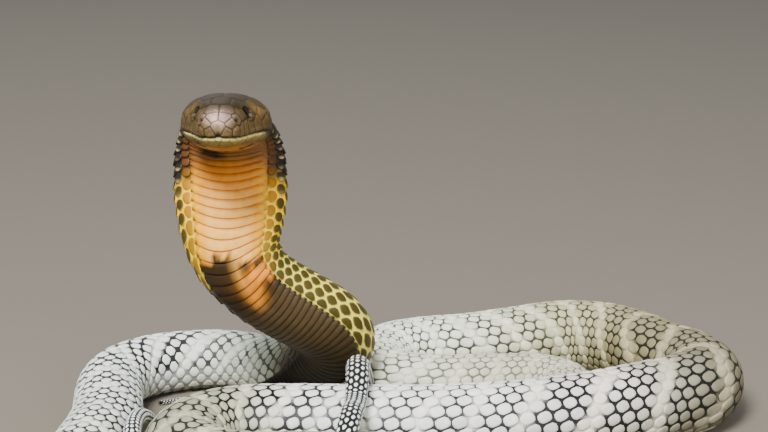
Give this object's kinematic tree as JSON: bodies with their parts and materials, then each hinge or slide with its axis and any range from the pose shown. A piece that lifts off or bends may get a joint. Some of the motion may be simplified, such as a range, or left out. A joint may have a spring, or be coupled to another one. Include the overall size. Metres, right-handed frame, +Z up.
{
  "type": "king cobra model",
  "caption": "Life-size king cobra lying in loose coils with its head raised, hood half spread and tail looped over the body; a still display model.",
  "frame": {"origin": "middle of the bounding box, on the floor that the coils rest on", "axes": "+Z up; the head looks along -Y; +X is to the right for a viewer who faces the head, and is the longest way across the coils"},
  "size_m": [0.3548, 0.3114, 0.1864],
  "materials": {
    "head_skin": "satin olive-brown shields",
    "hood_skin": "satin yellow and orange scutes",
    "body_skin": "satin pale grey scales with dark edges",
    "tail_skin": "satin white scales in a black net",
    "eye": "clear, glossy"
  },
  "bodies": {
    "root": {"back_run_1": "body_skin", "back_run_2": "body_skin", "back_turn_1": "body_skin", "back_turn_2": "body_skin", "eye_left": "eye", "eye_right": "eye", "front_fold_back_1": "body_skin", "front_fold_back_2": "body_skin", "front_fold_back_3": "body_skin", "front_fold_back_4": "body_skin", "front_fold_back_5": "body_skin", "front_fold_back_6": "body_skin", "front_fold_out_1": "body_skin", "front_fold_out_2": "body_skin", "front_fold_out_3": "body_skin", "front_fold_out_4": "body_skin", "front_fold_out_5": "body_skin", "front_fold_out_6": "body_skin", "front_fold_out_7": "body_skin", "front_run_1": "body_skin", "front_run_2": "body_skin", "front_run_3": "body_skin", "head": "head_skin", "hood_1": "hood_skin", "hood_2": "hood_skin", "inner_run": "body_skin", "inner_turn_1": "body_skin", "inner_turn_2": "body_skin", "left_coil_1": "body_skin", "left_coil_2": "body_skin", "left_coil_3": "body_skin", "lower_jaw": "head_skin", "middle_run": "body_skin", "neck": "hood_skin", "neck_turn_1": "hood_skin", "neck_turn_2": "hood_skin", "right_turn_1": "body_skin", "right_turn_2": "body_skin", "right_turn_3": "body_skin", "right_turn_4": "body_skin", "tail_base_1": "tail_skin", "tail_base_2": "tail_skin", "tail_crossing_1": "tail_skin", "tail_crossing_2": "tail_skin", "tail_end_1": "tail_skin", "tail_end_2": "tail_skin", "tail_end_3": "tail_skin", "tail_end_4": "tail_skin", "tail_gutter_1": "tail_skin", "tail_gutter_2": "tail_skin", "tail_saddle_1": "tail_skin", "tail_saddle_2": "tail_skin"}
  },
  "joints": []
}
